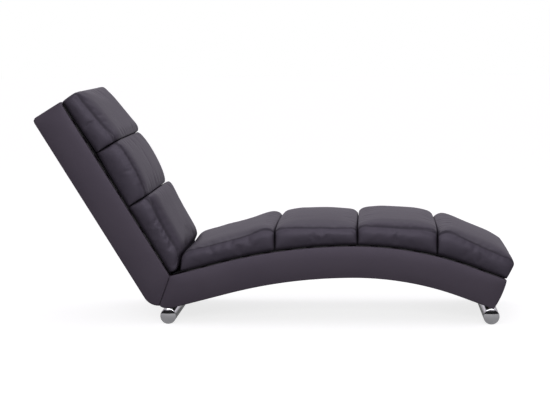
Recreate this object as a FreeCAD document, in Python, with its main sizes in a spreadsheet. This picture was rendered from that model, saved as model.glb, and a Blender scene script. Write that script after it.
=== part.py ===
import FreeCAD, Part

import math
import os

import Sketcher

os.makedirs("parts", exist_ok=True)
doc = FreeCAD.newDocument("ChaiseLongue")

# The driving sizes, in millimetres and degrees.
# Lengthwise places are measured along X from the middle of the lounger, heights from the floor.
DRIVING_SIZES = [
    ("width", 530, "outside width over the side covers"),
    ("arch_peak_x", 281, "where the underside of the base is highest"),
    ("arch_peak_height", 167.5, "clear height under that place"),
    ("arch_rear_radius", 1810, "underside curve behind the peak"),
    ("arch_front_radius", 1090, "underside curve in front of the peak"),
    ("rear_slope", 14.6, "slope of the straight run down to the back"),
    ("front_slope", 20.6, "slope of the straight run down to the foot end"),
    ("base_depth", 112.4, "depth of the base, square to its underside"),
    ("joint_x", -378, "where the back meets the top of the base"),
    ("seam_lean", 69.5, "lean of the joint face between back and base"),
    ("end_x", 778, "lowest point of the foot end"),
    ("end_lean", 66, "lean of the foot end"),
    ("end_bow", 5, "how far the foot end is rounded out"),
    ("back_lean", 58.7, "lean of the back from the floor"),
    ("back_length", 733, "length of the back shell from the joint to its top"),
    ("back_depth", 118.5, "thickness of the back shell"),
    ("back_corner_radius", 14, "rounding of the rear top edge"),
    ("heel_height", 67, "underside of the back shell above the floor"),
    ("heel_flat", 3, "flat left between the heel rounding and the joint"),
    ("heel_bow", 3, "how far the base is rounded between joint and rear tube"),
    ("leather", 1.5, "thickness of the cover leather"),
    ("padding", 5, "thickness of the foam under the side and rear covers"),
    ("board", 18, "plywood side boards"),
    ("rail", 25, "solid rails at the joint, the feet and the ends"),
    ("cross_rail", 20, "cross rails between the ends"),
    ("panel", 3, "hardboard at the rear of the back"),
    ("dust_cloth", 1.5, "cloth under the base"),
    ("first_rail_angle", -14, "first cross rail of the base, from the arch peak"),
    ("second_rail_angle", -7, "second cross rail of the base"),
    ("third_rail_angle", 0, "third cross rail of the base"),
    ("fourth_rail_angle", 12, "fourth cross rail of the base"),
    ("rail_rise", 3, "cross rails above the cloth under the base"),
    ("rail_drop", 22, "cross rails below the straps of the seat"),
    ("end_rail_drop", 10, "end rail below the straps of the seat"),
    ("back_rail_drop", 12, "rails of the back behind its straps"),
    ("back_rail_shift", 10, "these rails below the cushion seams"),
    ("panel_end_gap", 30, "hardboard above the lower end of the back"),
    ("strap", 2, "thickness of the elastic straps"),
    ("strap_width", 50, "width of the elastic straps"),
    ("strap_pitch", 76, "distance from strap to strap"),
    ("strap_end_gap", 3, "strap ends in from the outer faces of the boards"),
    ("back_strap_start", 20, "first strap below the top of the back"),
    ("felt", 4, "felt between straps and cushions"),
    ("felt_setback", 14, "how far the felt stays in from the sides"),
    ("felt_end_gap", 10, "how far the felt stays in from the ends"),
    ("soft_gap", 0.3, "clearance between soft pieces"),
    ("tube_diameter", 57, "polished foot tube"),
    ("tube_wall", 1.5, "wall of the foot tube"),
    ("rear_tube_x", -386, "axis of the rear foot tube"),
    ("front_tube_x", 769, "axis of the front foot tube"),
    ("tube_gap", 0.2, "clearance between tube and cover"),
    ("seat_flat", 8, "half width of the flat over each tube"),
    ("seat_ramp", 5, "run from the underside down to that flat"),
    ("cap_flange", 3, "thickness of the end disc"),
    ("cap_plug", 15, "length of the plug inside the tube"),
    ("cap_wall", 2.5, "wall of the hollow plug"),
    ("plug_gap", 0.1, "clearance of the plug and of the washers in the tube"),
    ("bolt_diameter", 8, "bolts in the feet and in the back joint"),
    ("bolt_hole", 8.6, "clearance hole for these bolts"),
    ("bolt_head", 13, "diameter of the bolt heads"),
    ("bolt_head_height", 6, "height of the bolt heads"),
    ("nut_height", 6.5, "height of the joint nuts"),
    ("bolt_end", 3, "joint bolts past their nuts"),
    ("thread_gap", 0.05, "clearance of the bolts in nuts and inserts"),
    ("washer_diameter", 17, "washers of all bolts"),
    ("washer", 1.6, "thickness of the washers"),
    ("insert_hole", 10.6, "hole for the threaded inserts of the feet"),
    ("insert_flange", 20, "flange of the threaded inserts"),
    ("insert_flange_height", 1.5, "thickness of that flange"),
    ("insert_length", 9, "barrel of the threaded inserts"),
    ("foot_rail_height", 34, "rail over each foot tube"),
    ("foot_rail_depth", 46, "length of that rail along the base"),
    ("access_hole", 18, "hole under each foot bolt, for the driver"),
    ("foot_bolt_place", 170, "foot bolts from the middle"),
    ("joint_bolt_inner", 60, "inner joint bolts from the middle"),
    ("joint_bolt_outer", 180, "outer joint bolts from the middle"),
    ("joint_rail_drop", 8, "rails along the joint face, below the top of the base"),
    ("joint_rail_rise", 3, "these rails above the inserts of the rear foot rail"),
    ("cushion_setback", 12, "how far every cushion stays in from the sides"),
    ("cushion_gap", 2, "gap from cushion to cushion"),
    ("cushion_corner", 12, "rounding of the cushion ends"),
    ("cushion_shoulder", 55, "where the crown levels out, in from the side"),
    ("shoulder_share", 0.68, "share of the crown that is reached there"),
    ("crown", 18, "rise of a cushion from its side to its middle"),
    ("draw_in", 2, "how far the ends of a cushion pull in at its middle"),
    ("seat_bow", 3, "bow of the face along a seat cushion"),
    ("last_seat_bow", 8, "bow of the face along the last seat cushion"),
    ("upper_back_bow", 6, "bow of the face along the upper back cushion"),
    ("middle_back_bow", 9, "bow of the face along the middle back cushion"),
    ("lower_back_bow", 2, "bow of the face along the lower back cushion"),
    ("seat_rear", -342, "rear end of the first seat cushion"),
    ("seat_seam_one", 0, "seam of the first and second seat cushion"),
    ("seat_seam_two", 295, "seam of the second and third seat cushion"),
    ("seat_seam_three", 578, "seam of the third and fourth seat cushion"),
    ("seat_nose", 30, "how far the last cushion stands past the base"),
    ("seat_rear_lean", 20, "lean of the rear end of the first cushion"),
    ("rise_one_rear", 77, "face of the first cushion over the base, at its rear"),
    ("rise_one_front", 84, "the same at its front"),
    ("rise_two_rear", 85, "face of the second cushion over the base, at its rear"),
    ("rise_two_front", 68, "the same at its front"),
    ("rise_three_rear", 74, "face of the third cushion over the base, at its rear"),
    ("rise_three_front", 92, "the same at its front"),
    ("rise_four_rear", 96, "face of the fourth cushion over the base, at its rear"),
    ("rise_four_front", 81, "the same at its front"),
    ("back_seam_one", 221, "first seam of the back, from its top"),
    ("back_seam_two", 444, "second seam of the back, from its top"),
    ("back_overhang", 2, "how far the top cushion stands above the shell"),
    ("back_end_gap", 8, "lowest cushion above the joint, at the shell"),
    ("back_end_cut", 48, "how much shorter its face is than its rear"),
    ("out_upper_top", 60, "face of the upper cushion before the back, at its top"),
    ("out_upper_end", 92, "the same at its lower end"),
    ("out_middle_top", 94, "face of the middle cushion before the back, at its top"),
    ("out_middle_end", 82, "the same at its lower end"),
    ("out_lower_top", 88, "face of the lower cushion before the back, at its top"),
    ("out_lower_end", 76, "the same at its lower end"),
]

sheet = doc.addObject("Spreadsheet::Sheet", "Sizes")
for row, (name, value, note) in enumerate(DRIVING_SIZES, start=1):
    sheet.set(f"A{row}", name)
    sheet.set(f"B{row}", str(value))
    sheet.setAlias(f"B{row}", name)
    sheet.set(f"C{row}", note)
doc.recompute()


class Size:
    """A value worked out from the sheet: its number, and the text that binds it to the cells."""

    def __init__(self, number, text):
        self.number = float(number)
        self.text = text

    def __add__(self, other):
        other = as_size(other)
        return Size(self.number + other.number, f"({self.text} + {other.text})")

    def __sub__(self, other):
        other = as_size(other)
        return Size(self.number - other.number, f"({self.text} - {other.text})")

    def __mul__(self, other):
        other = as_size(other)
        return Size(self.number * other.number, f"{self.text} * {other.text}")

    def __truediv__(self, other):
        other = as_size(other)
        return Size(self.number / other.number, f"{self.text} / ({other.text})")

    def __neg__(self):
        return Size(-self.number, f"(0 - {self.text})")

    __radd__ = __add__
    __rmul__ = __mul__

    def __rsub__(self, other):
        return as_size(other) - self


def as_size(value):
    if isinstance(value, Size):
        return value
    return Size(value, repr(value))


def cell(name):
    return Size(float(sheet.get(name)), f"Sizes.{name}")


def sine(angle):
    return Size(math.sin(math.radians(angle.number)), f"sin({angle.text})")


def cosine(angle):
    return Size(math.cos(math.radians(angle.number)), f"cos({angle.text})")


def tangent(angle):
    return Size(math.tan(math.radians(angle.number)), f"tan({angle.text})")


def root(value):
    return Size(math.sqrt(value.number), f"sqrt({value.text})")


# Sizes that several pieces share
width = cell("width")
leather = cell("leather")
padding = cell("padding")
skin = leather + padding
soft_gap = cell("soft_gap")
frame_width = width - 2 * skin
rail_length = frame_width - 2 * cell("board")
base_depth = cell("base_depth")
felt_low = cell("strap") + soft_gap
felt_high = felt_low + cell("felt")
cushion_low = felt_high + soft_gap


# Base line: straight run, rear arc, front arc, straight run.
# A lift is the distance of a parallel line above the underside of the base.
def rear_break(lift):
    reach = cell("arch_rear_radius") + lift
    centre_height = cell("arch_peak_height") - cell("arch_rear_radius")
    x = cell("arch_peak_x") - reach * sine(cell("rear_slope"))
    return x, centre_height + reach * cosine(cell("rear_slope"))


def front_break(lift):
    reach = cell("arch_front_radius") + lift
    centre_height = cell("arch_peak_height") - cell("arch_front_radius")
    x = cell("arch_peak_x") + reach * sine(cell("front_slope"))
    return x, centre_height + reach * cosine(cell("front_slope"))


def base_height(x, lift):
    """Height of the base line with that lift, at one place along the lounger."""
    x = as_size(x)
    lift = as_size(lift)
    peak_x = cell("arch_peak_x")
    rear_x, rear_height = rear_break(lift)
    front_x, front_height = front_break(lift)
    if x.number <= rear_x.number:
        return rear_height - (rear_x - x) * tangent(cell("rear_slope"))
    if x.number >= front_x.number:
        return front_height - (x - front_x) * tangent(cell("front_slope"))
    side = "arch_rear_radius" if x.number < peak_x.number else "arch_front_radius"
    reach = cell(side) + lift
    across = x - peak_x
    return cell("arch_peak_height") - cell(side) + root(reach * reach - across * across)


def base_run(x_from, x_to, lift):
    """Corners of the base line from one place forward to another, arcs bulging upwards."""
    x_from = as_size(x_from)
    x_to = as_size(x_to)
    lift = as_size(lift)
    peak = (cell("arch_peak_x"), cell("arch_peak_height") + lift)
    stops = [
        (rear_break(lift), None),
        (peak, cell("arch_rear_radius") + lift),
        (front_break(lift), cell("arch_front_radius") + lift),
    ]
    corners = [(x_from, base_height(x_from, lift))]
    for (x, height), radius in stops:
        if x_from.number < x.number < x_to.number:
            corners.append((x, height) if radius is None else (x, height, -radius))
    last = (x_to, base_height(x_to, lift))
    for (x, height), radius in stops[1:]:
        if x_to.number <= x.number and (radius is stops[1][1] or x_to.number > peak[0].number):
            if x_to.number > stops[0][0][0].number:
                last = last[:2] + (-radius,)
                break
    corners.append(last)
    return corners


def reverse(corners):
    """The same corners travelled the other way, each arc kept with its own pair of corners."""
    backwards = []
    radius = None
    for corner in reversed(corners):
        point = corner[:2]
        backwards.append(point if radius is None else point + (-radius,))
        radius = corner[2] if len(corner) > 2 else None
    return backwards


def bowed(start, end, rise):
    """The end corner with an arc that rises by so much over the straight line from the start."""
    along_x = end[0] - start[0]
    along_z = end[1] - start[1]
    rise = as_size(rise)
    radius = (along_x * along_x + along_z * along_z) / (rise * 8) + rise / 2
    return end[0], end[1], radius


# Joint face between back and base, from the heel up to the top of the base
joint_x = cell("joint_x")
joint_height = base_height(joint_x, base_depth)
heel_height = cell("heel_height")
seam_lean = cell("seam_lean")


def seam_point(height, forward=0):
    """A point at that height on the joint face, or so far in front of it."""
    x = joint_x - (joint_height - height) / tangent(seam_lean) + as_size(forward) / sine(seam_lean)
    return x, as_size(height)


def joint_point(down, out):
    """A point so far down the joint face from its top, and so far out of it to the front."""
    down = as_size(down)
    out = as_size(out)
    x = joint_x - down * cosine(seam_lean) + out * sine(seam_lean)
    return x, joint_height - down * sine(seam_lean) - out * cosine(seam_lean)


def end_point(height, inset):
    """A point at that height on the foot end, so far inside it."""
    x = cell("end_x") - as_size(inset) / sine(cell("end_lean"))
    rise = as_size(height) - tube_top
    return x + rise / tangent(cell("end_lean")), as_size(height)


def end_top(lift, inset):
    """Where the foot end meets the base line with that lift."""
    front_x, front_height = front_break(lift)
    slope = tangent(cell("front_slope"))
    foot = end_point(tube_top, inset)[0]
    above = front_height - tube_top - slope * (foot - front_x)
    return end_point(tube_top + above / (slope / tangent(cell("end_lean")) + 1), inset)


tube_top = cell("tube_diameter") + cell("tube_gap")
rear_flat = cell("rear_tube_x") - cell("seat_flat")
rear_flat_end = rear_flat + 2 * cell("seat_flat")
rear_ramp_end = rear_flat_end + cell("seat_ramp")
front_flat = cell("front_tube_x") - cell("seat_flat")
front_ramp_end = front_flat - cell("seat_ramp")


def heel_corners(inset, seam_inset):
    """Rear underside of the base, from the joint over the rear tube to the straight run."""
    start = seam_point(heel_height + inset, seam_inset)
    return [
        start,
        bowed(start, (rear_flat, tube_top + inset), cell("heel_bow")),
        (rear_flat_end, tube_top + inset),
        (rear_ramp_end, base_height(rear_ramp_end, inset)),
    ]


def toe_corners(inset, end_inset):
    """Front underside of the base over the front tube, and the foot end up to the deck."""
    low = end_point(tube_top + inset, end_inset)
    top = end_top(base_depth, end_inset)
    return [
        (front_flat, tube_top + inset),
        low,
        bowed(low, top, cell("end_bow")),
    ]


def base_outline(inset, end_inset, seam_inset):
    """Side view of the base, drawn in by the given amounts."""
    inset = as_size(inset)
    heel = heel_corners(inset, seam_inset)
    toe = toe_corners(inset, as_size(end_inset))
    joint = seam_point(joint_height, seam_inset)
    deck_start = (joint[0], base_height(joint[0], base_depth))
    under = base_run(heel[-1][0], front_ramp_end, inset)
    deck = reverse(base_run(deck_start[0], toe[-1][0], base_depth))
    return heel[:3] + under + toe + deck[1:]


# Back shell, measured down from its top along its front, and out of that front
back_length = cell("back_length")
back_depth = cell("back_depth")
back_lean = cell("back_lean")


def back_point(down, out):
    """A point so far down from the top of the back, and so far out of its front."""
    up = back_length - as_size(down)
    out = as_size(out)
    x = joint_x - up * cosine(back_lean) + out * sine(back_lean)
    return x, joint_height + up * sine(back_lean) + out * cosine(back_lean)


def heel_corner(inset):
    """Where the rear face would meet the underside of the back, were it not rounded there."""
    low = heel_height + inset
    rear_x, rear_height = back_point(back_length, inset - back_depth)
    return rear_x + (rear_height - low) / tangent(back_lean), low


heel_room = seam_point(heel_height)[0] - cell("heel_flat") - heel_corner(as_size(0))[0]
heel_radius = heel_room / tangent(back_lean / 2)


def shell_run(inset):
    """Top, rear and heel of the back shell, from its front top edge down to the joint."""
    inset = as_size(inset)
    rear = inset - back_depth
    radius = cell("back_corner_radius") - inset
    heel = heel_radius - inset
    corner_x, low = heel_corner(inset)
    reach = heel * tangent(back_lean / 2)
    return [
        back_point(inset, 0),
        back_point(inset, rear + radius),
        back_point(inset + radius, rear) + (radius,),
        (corner_x - reach * cosine(back_lean), low + reach * sine(back_lean)),
        (corner_x + reach, low, heel),
    ]


def shell_outline(inset, seam_inset):
    """Side view of the back shell, drawn in at its top, rear and heel."""
    seam_inset = as_size(seam_inset)
    return shell_run(inset) + [
        seam_point(heel_height + inset, -seam_inset),
        seam_point(joint_height, -seam_inset),
    ]


def shell_strip(outer, inner):
    """A layer that wraps the top, rear and heel of the back shell."""
    heel_out = seam_point(heel_height + outer, -soft_gap)
    heel_in = seam_point(heel_height + inner, -soft_gap)
    return shell_run(outer) + [heel_out, heel_in] + reverse(shell_run(inner))


# Sketches and bodies
def line_or_arc(start, end, radius):
    """The edge between two points; an arc has its centre on the left where its radius is positive."""
    if radius is None:
        return Part.LineSegment(start, end), 1, 2
    chord = end - start
    offset = math.sqrt(radius.number ** 2 - chord.Length ** 2 / 4)
    left = FreeCAD.Vector(-chord.y, chord.x, 0).normalize()
    side = math.copysign(1, radius.number)
    centre = (start + end) / 2 + left * offset * side
    circle = Part.Circle(centre, FreeCAD.Vector(0, 0, 1), abs(radius.number))
    first, last = (start, end) if side > 0 else (end, start)
    arc = Part.ArcOfCircle(circle, circle.parameter(first), circle.parameter(last))
    return (arc, 1, 2) if side > 0 else (arc, 2, 1)


def hold(sketch, kind, edge, end, value):
    """Holds one coordinate of a point of the sketch at a value of the sheet."""
    index = sketch.addConstraint(Sketcher.Constraint(kind, -1, 1, edge, end, value.number))
    sketch.setExpression(f"Constraints[{index}]", value.text)


def draw_outline(sketch, corners):
    """Draws a closed outline through the corners and binds every corner and radius."""
    points = [FreeCAD.Vector(corner[0].number, corner[1].number, 0) for corner in corners]
    edges = []
    for index, corner in enumerate(corners):
        radius = corner[2] if len(corner) > 2 else None
        curve, first, last = line_or_arc(points[index - 1], points[index], radius)
        edge = sketch.addGeometry(curve, False)
        edges.append((edge, first, last, radius))
    for index, (edge, first, last, radius) in enumerate(edges):
        before_edge, _, before_last, _ = edges[index - 1]
        joined = Sketcher.Constraint("Coincident", before_edge, before_last, edge, first)
        sketch.addConstraint(joined)
        hold(sketch, "DistanceX", edge, last, corners[index][0])
        hold(sketch, "DistanceY", edge, last, corners[index][1])
        if radius is not None:
            value = abs(radius.number)
            round_edge = sketch.addConstraint(Sketcher.Constraint("Radius", edge, value))
            sketch.setExpression(f"Constraints[{round_edge}]", f"abs({radius.text})")


def draw_circle(sketch, across, up, diameter):
    """Draws one circle and binds its centre and its diameter."""
    centre = FreeCAD.Vector(across.number, up.number, 0)
    circle = Part.Circle(centre, FreeCAD.Vector(0, 0, 1), diameter.number / 2)
    edge = sketch.addGeometry(circle, False)
    hold(sketch, "DistanceX", edge, 3, across)
    hold(sketch, "DistanceY", edge, 3, up)
    index = sketch.addConstraint(Sketcher.Constraint("Diameter", edge, diameter.number))
    sketch.setExpression(f"Constraints[{index}]", diameter.text)


def new_sketch(body, role, name, offset=None):
    """A sketch on one of the body's own origin planes, or parallel to it."""
    plane = [item for item in body.Origin.OriginFeatures if item.Role == role][0]
    sketch = body.newObject("Sketcher::SketchObject", name)
    sketch.AttachmentSupport = [(plane, "")]
    sketch.MapMode = "FlatFace"
    if offset is not None:
        sketch.setExpression("AttachmentOffset.Base.z", as_size(offset).text)
    return sketch


def new_body(label):
    body = doc.addObject("PartDesign::Body", label)
    body.Label = label
    return body


def place(piece, x=0, y=0, z=0, turn=0):
    """Places a piece and turns it about the crosswise axis, both bound to the sheet."""
    place_text = "; ".join(as_size(value).text for value in (x, y, z))
    turn_text = f"rotation(vector(0; 1; 0); {as_size(turn).text})"
    piece.setExpression("Placement", f"placement(vector({place_text}); {turn_text})")
    return piece


def pad(body, sketch, length):
    feature = body.newObject("PartDesign::Pad", "Pad")
    feature.Profile = sketch
    feature.SideType = "Symmetric"
    feature.setExpression("Length", as_size(length).text)
    return feature


def cut_through(body, sketch):
    """Cuts the outlines of the sketch right through the body, both ways from its plane."""
    feature = body.newObject("PartDesign::Pocket", "Pocket")
    feature.Profile = sketch
    feature.SideType = "Symmetric"
    feature.Type = "ThroughAll"
    return feature


def plank(label, corners, length, y=0):
    """A piece of constant side view that runs across the lounger."""
    body = new_body(label)
    sketch = new_sketch(body, "XZ_Plane", "SideView")
    draw_outline(sketch, corners)
    pad(body, sketch, length)
    return place(body, y=y)


def pair(label, corners, thickness, outside):
    """A left and a right board whose outer faces are so far in from the side."""
    offset = width / 2 - outside - as_size(thickness) / 2
    right = plank(f"{label}_right", corners, thickness, -offset)
    left = plank(f"{label}_left", corners, thickness, offset)
    return [left, right]


def turned(label, profile, x=0, y=0, z=0, turn=0):
    """A round piece: a profile of radii and heights, turned about the upright axis."""
    body = new_body(label)
    sketch = new_sketch(body, "XZ_Plane", "Profile")
    draw_outline(sketch, [(as_size(radius), as_size(height)) for radius, height in profile])
    feature = body.newObject("PartDesign::Revolution", "Revolution")
    feature.Profile = sketch
    feature.ReferenceAxis = (sketch, ["V_Axis"])
    feature.Angle = 360
    return place(body, x, y, z, turn)


def group(label, members):
    """Like pieces that share one node, each a solid of its own."""
    compound = doc.addObject("Part::Compound", label)
    compound.Label = label
    compound.Links = members
    return compound


sub_parts = []


# Frame of the base: two arched plywood boards joined by rails
frame_low = leather + soft_gap
foot_rail_low = tube_top + frame_low
foot_rail_top = foot_rail_low + cell("foot_rail_height")
insert_top = foot_rail_top + cell("insert_flange_height")
sub_parts += pair("base_side_board", base_outline(frame_low, skin, 0), cell("board"), skin)


joint_rail_low = insert_top + cell("joint_rail_rise") + cell("rail") * cosine(seam_lean)
joint_rail_end = (joint_height - joint_rail_low) / sine(seam_lean)
joint_rail_height = joint_rail_end - cell("joint_rail_drop")


def joint_rail(label, side, y_places):
    """A rail along the joint face, drilled for the joint bolts."""
    body = new_body(label)
    sketch = new_sketch(body, "YZ_Plane", "Face")
    half_length = rail_length / 2
    height = joint_rail_height
    start = as_size(0)
    draw_outline(sketch, [
        (-half_length, -height),
        (half_length, -height),
        (half_length, start),
        (-half_length, start),
    ])
    feature = body.newObject("PartDesign::Pad", "Pad")
    feature.Profile = sketch
    feature.setExpression("Length", cell("rail").text)
    feature.Reversed = side < 0
    holes = new_sketch(body, "YZ_Plane", "BoltHoles")
    for y in y_places:
        draw_circle(holes, y, -height / 2, cell("bolt_hole"))
    cut_through(body, holes)
    x, z = joint_point(cell("joint_rail_drop"), 0)
    return place(body, x, 0, z, 90 - seam_lean)


bolt_places = [
    -cell("joint_bolt_outer"),
    -cell("joint_bolt_inner"),
    cell("joint_bolt_inner"),
    cell("joint_bolt_outer"),
]
sub_parts.append(joint_rail("base_rear_rail", 1, bolt_places))


def drilled_plank(label, corners, length, tube_x, diameter):
    """A piece over a foot tube, with a hole for each of the two bolts of that tube."""
    body = new_body(label)
    sketch = new_sketch(body, "XZ_Plane", "SideView")
    draw_outline(sketch, corners)
    pad(body, sketch, length)
    holes = new_sketch(body, "XY_Plane", "Holes")
    for side in (-1, 1):
        draw_circle(holes, tube_x, side * cell("foot_bolt_place"), diameter)
    cut_through(body, holes)
    return place(body)


rear_rail_end = rear_flat + cell("foot_rail_depth")
sub_parts.append(drilled_plank(
    "rear_foot_rail",
    [
        (rear_flat, foot_rail_low),
        (rear_flat_end, foot_rail_low),
        (rear_ramp_end, base_height(rear_ramp_end, frame_low)),
        (rear_rail_end, base_height(rear_rail_end, frame_low)),
        (rear_rail_end, foot_rail_top),
        (rear_flat, foot_rail_top),
    ],
    rail_length,
    cell("rear_tube_x"),
    cell("insert_hole"),
))
front_rail_start = cell("end_x") - cell("foot_rail_depth")
sub_parts.append(drilled_plank(
    "front_foot_rail",
    [
        (front_rail_start, base_height(front_rail_start, frame_low)),
        (front_ramp_end, base_height(front_ramp_end, frame_low)),
        (front_flat, foot_rail_low),
        end_point(foot_rail_low, skin),
        end_point(foot_rail_top, skin),
        (front_rail_start, foot_rail_top),
    ],
    rail_length,
    cell("front_tube_x"),
    cell("insert_hole"),
))

# The end rail lies just over the inserts of the front foot rail, inside the foot end
end_rail_lift = base_depth - cell("end_rail_drop")
end_rail_top = end_top(end_rail_lift, skin)
end_rail_back = end_top(end_rail_lift, skin + cell("rail"))
end_rail_low = insert_top + soft_gap
sub_parts.append(plank(
    "base_end_rail",
    [
        end_point(end_rail_low, skin + cell("rail")),
        end_point(end_rail_low, skin),
        end_rail_top,
        end_rail_back,
    ],
    rail_length,
))


def cross_rail(radius_name, angle):
    """A rail across the base, square to the arch; its angle counts from the peak."""
    low = cell(radius_name) + cell("dust_cloth") + cell("rail_rise")
    high = cell(radius_name) + base_depth - cell("rail_drop")
    half = cell("cross_rail") / 2
    corners = [(-half, low), (half, low), (half, high), (-half, high)]
    body = plank("cross_rail", corners, rail_length)
    centre_height = cell("arch_peak_height") - cell(radius_name)
    return place(body, cell("arch_peak_x"), 0, centre_height, angle)


sub_parts.append(group("base_cross_rails", [
    cross_rail("arch_rear_radius", cell("first_rail_angle")),
    cross_rail("arch_rear_radius", cell("second_rail_angle")),
    cross_rail("arch_rear_radius", cell("third_rail_angle")),
    cross_rail("arch_front_radius", cell("fourth_rail_angle")),
]))

# Frame of the back: two plywood boards, rails and a hardboard rear
sub_parts += pair("back_side_board", shell_outline(skin, 0), cell("board"), skin)
sub_parts.append(joint_rail("back_joint_rail", -1, bolt_places))
panel_front = skin + cell("panel") - back_depth


def back_rail(label, down, thickness, rear=panel_front):
    """A rail across the back, square to its front."""
    return plank(
        label,
        [
            back_point(down, rear),
            back_point(down + thickness, rear),
            back_point(down + thickness, -cell("back_rail_drop")),
            back_point(down, -cell("back_rail_drop")),
        ],
        rail_length,
    )


corner_rear = cell("back_corner_radius") - back_depth
sub_parts.append(back_rail("back_top_rail", skin, cell("rail"), corner_rear))
sub_parts.append(group("back_cross_rails", [
    back_rail("back_rail", cell(seam) + cell("back_rail_shift"), cell("cross_rail"))
    for seam in ("back_seam_one", "back_seam_two")
]))
panel_start = cell("back_corner_radius")
panel_end = back_length - cell("panel_end_gap")
sub_parts.append(plank(
    "back_panel",
    [
        back_point(panel_start, skin - back_depth),
        back_point(panel_end, skin - back_depth),
        back_point(panel_end, panel_front),
        back_point(panel_start, panel_front),
    ],
    rail_length,
))

# Elastic straps and felt that carry the cushions
strap = cell("strap")
strap_length = frame_width - 2 * cell("strap_end_gap")
strap_top = base_depth + strap
seat_rear = cell("seat_rear")
felt_end = end_top(base_depth, 0)[0] - cell("felt_end_gap")


def seat_strap(centre):
    start = centre - cell("strap_width") / 2
    end = centre + cell("strap_width") / 2
    under = base_run(start, end, base_depth)
    over = reverse(base_run(start, end, strap_top))
    return plank("seat_strap", under + over, strap_length)


def back_strap(down):
    end = down + cell("strap_width")
    corners = [
        back_point(down, 0),
        back_point(end, 0),
        back_point(end, strap),
        back_point(down, strap),
    ]
    return plank("back_strap", corners, strap_length)


strap_pitch = cell("strap_pitch")
seat_strap_start = seat_rear + cell("strap_width")
seat_strap_room = felt_end - seat_strap_start - cell("strap_width") / 2
seat_strap_count = int(seat_strap_room.number // strap_pitch.number) + 1
sub_parts.append(group("seat_straps", [
    seat_strap(seat_strap_start + strap_pitch * index) for index in range(seat_strap_count)
]))
back_strap_start = cell("back_strap_start")
back_strap_room = back_length - back_strap_start - cell("strap_width")
back_strap_count = int(back_strap_room.number // strap_pitch.number) + 1
sub_parts.append(group("back_straps", [
    back_strap(back_strap_start + strap_pitch * index) for index in range(back_strap_count)
]))

felt_width = width - 2 * cell("felt_setback")
felt_under = base_run(seat_rear, felt_end, base_depth + felt_low)
felt_over = reverse(base_run(seat_rear, felt_end, base_depth + felt_high))
sub_parts.append(plank("seat_felt", felt_under + felt_over, felt_width))
back_felt_top = cell("felt_end_gap")
back_felt_end = back_length - cell("felt_end_gap")
sub_parts.append(plank(
    "back_felt",
    [
        back_point(back_felt_top, felt_low),
        back_point(back_felt_end, felt_low),
        back_point(back_felt_end, felt_high),
        back_point(back_felt_top, felt_high),
    ],
    felt_width,
))

# Padding and leather of the base
base_padding = base_outline(frame_low, frame_low, soft_gap)
sub_parts += pair("base_side_padding", base_padding, padding, leather)
sub_parts += pair("base_side_cover", base_outline(0, 0, soft_gap), leather, 0)
wrap_width = width - 2 * leather - 2 * soft_gap
no_inset = as_size(0)
toe_strip = toe_corners(no_inset, no_inset) + reverse(toe_corners(leather, leather))
sub_parts.append(drilled_plank(
    "base_end_cover", toe_strip, wrap_width, cell("front_tube_x"), cell("bolt_hole")))
end_pad = toe_corners(frame_low, frame_low)[1:] + reverse(toe_corners(frame_low, skin)[1:])
sub_parts.append(drilled_plank(
    "base_end_padding", end_pad, frame_width, cell("front_tube_x"), cell("bolt_hole")))
heel_outer = heel_corners(no_inset, soft_gap)[:3]
heel_inner = heel_corners(leather, soft_gap)[:3]
sub_parts.append(drilled_plank(
    "base_heel_cover",
    heel_outer + reverse(heel_inner),
    wrap_width,
    cell("rear_tube_x"),
    cell("bolt_hole"),
))
dust_under = base_run(rear_ramp_end, front_ramp_end, 0)
dust_over = reverse(base_run(rear_ramp_end, front_ramp_end, cell("dust_cloth")))
sub_parts.append(plank("dust_cloth", dust_under + dust_over, wrap_width))

# Padding and leather of the back shell
sub_parts += pair("back_side_padding", shell_outline(leather, soft_gap), padding, leather)
sub_parts += pair("back_side_cover", shell_outline(0, soft_gap), leather, 0)
sub_parts.append(plank("back_rear_padding", shell_strip(leather, skin), frame_width))
sub_parts.append(plank("back_rear_cover", shell_strip(0, leather), wrap_width))

# Feet: two polished tubes across the whole width, with discs in their ends
tube_radius = cell("tube_diameter") / 2
tube_bore = cell("tube_diameter") - 2 * cell("tube_wall")
tube_length = width - 2 * cell("cap_flange")


def foot_tube(label, tube_x):
    """A round tube with two bolt holes in its top and two wider ones for the driver below."""
    body = new_body(label)
    sketch = new_sketch(body, "XZ_Plane", "RoundWall")
    centre = as_size(0)
    draw_circle(sketch, centre, centre, cell("tube_diameter"))
    draw_circle(sketch, centre, centre, tube_bore)
    pad(body, sketch, tube_length)
    for name, diameter, upwards in (
        ("BoltHoles", cell("bolt_hole"), True),
        ("DriverHoles", cell("access_hole"), False),
    ):
        holes = new_sketch(body, "XY_Plane", name)
        for side in (-1, 1):
            draw_circle(holes, centre, side * cell("foot_bolt_place"), diameter)
        feature = body.newObject("PartDesign::Pocket", name)
        feature.Profile = holes
        feature.Type = "ThroughAll"
        feature.Reversed = upwards
    return place(body, tube_x, 0, tube_radius)


def tube_cap(label, tube_x, side):
    """An end disc with the plug that holds it in the tube."""
    plug_radius = tube_bore / 2 - cell("plug_gap")
    hollow_radius = plug_radius - cell("cap_wall")
    flange = cell("cap_flange")
    plug_end = flange + cell("cap_plug")
    profile = [
        (0, 0),
        (tube_radius, 0),
        (tube_radius, flange),
        (plug_radius, flange),
        (plug_radius, plug_end),
        (hollow_radius, plug_end),
        (hollow_radius, flange),
        (0, flange),
    ]
    body = turned(label, profile)
    text = f"vector({tube_x.text}; {(side * width / 2).text}; {tube_radius.text})"
    body.setExpression("Placement", f"placement({text}; rotation(vector(1; 0; 0); {90 * side}))")
    return body


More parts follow.
